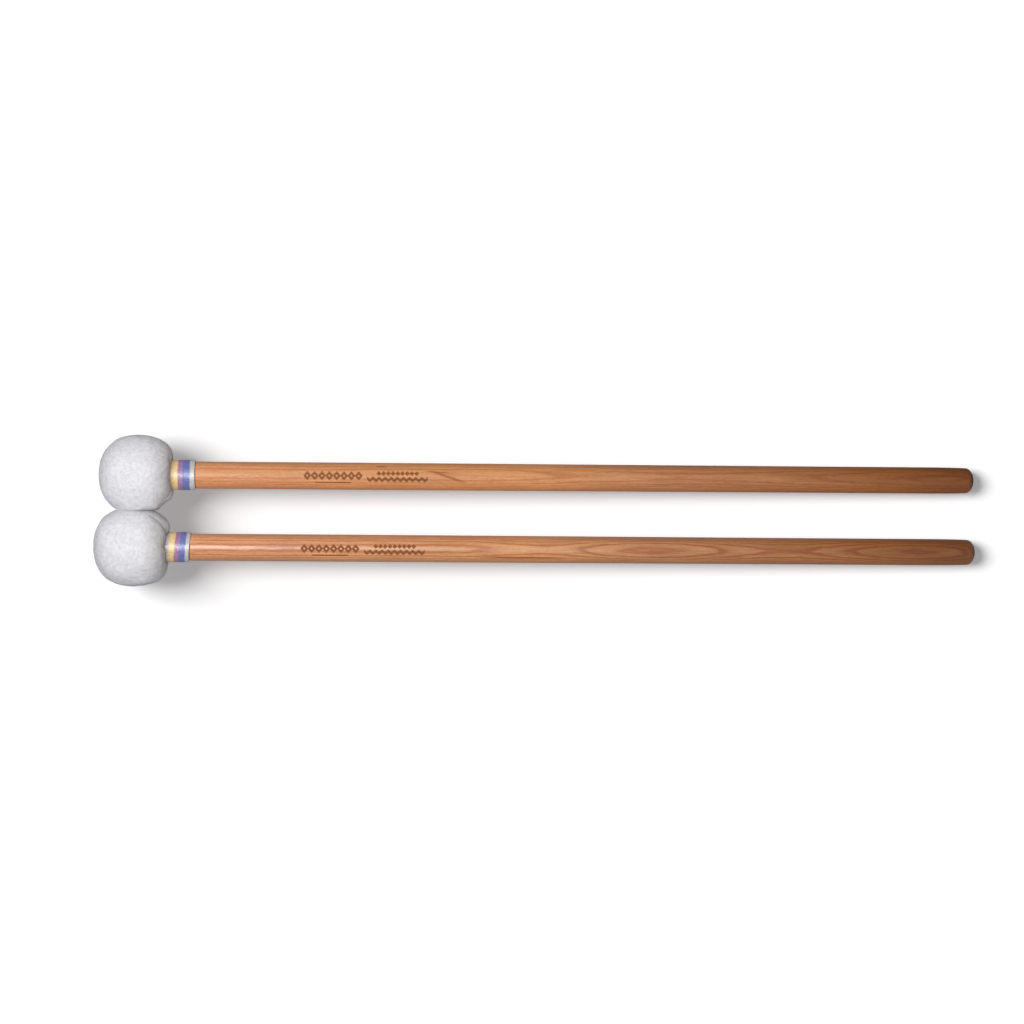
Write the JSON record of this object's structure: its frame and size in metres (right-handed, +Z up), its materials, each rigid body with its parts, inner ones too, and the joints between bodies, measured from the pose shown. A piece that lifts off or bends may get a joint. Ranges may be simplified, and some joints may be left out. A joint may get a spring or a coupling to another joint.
{
  "type": "pair of timpani mallets",
  "caption": "Timpani mallets for the left and right hand: white felt heads, gathered and bound with coloured thread, on turned wooden shafts with rounded butts.",
  "frame": {"origin": "on the surface that the pair lies on, under the middle of the pair's box", "axes": "+X along the mallets from the heads to the butts, +Y towards the right mallet, +Z up; the left mallet is the one at -Y, as a player holding both butts sees them with the heads pointing away"},
  "size_m": [0.3922, 0.0672, 0.0349],
  "materials": {
    "shaft_wood": "clear satin lacquer over reddish-brown hardwood with visible grain",
    "core_maple": "turned and unfinished",
    "pad_felt": "firm pressed wool felt",
    "cover_felt": "soft thick white wool felt",
    "draw_thread": "waxed undyed twine",
    "white_thread": "silky white thread",
    "gold_thread": "silky golden thread",
    "purple_thread": "silky purple thread",
    "blue_thread": "silky blue thread"
  },
  "bodies": {
    "right_mallet": {"right_shaft": "shaft_wood", "right_core": "core_maple", "right_core_pad": "pad_felt", "right_felt_cover": "cover_felt", "right_draw_thread": "draw_thread", "right_inner_white_thread": "white_thread", "right_gold_thread": "gold_thread", "right_purple_thread": "purple_thread", "right_blue_thread": "blue_thread", "right_white_thread": "white_thread"},
    "left_mallet": {"left_shaft": "shaft_wood", "left_core": "core_maple", "left_core_pad": "pad_felt", "left_felt_cover": "cover_felt", "left_draw_thread": "draw_thread", "left_inner_white_thread": "white_thread", "left_gold_thread": "gold_thread", "left_purple_thread": "purple_thread", "left_blue_thread": "blue_thread", "left_white_thread": "white_thread"}
  },
  "joints": [
    {"name": "left_mallet_apart", "type": "slide", "parent": "right_mallet", "child": "left_mallet", "axis": [0, -1, 0], "range_m": [0, 0.1]}
  ]
}
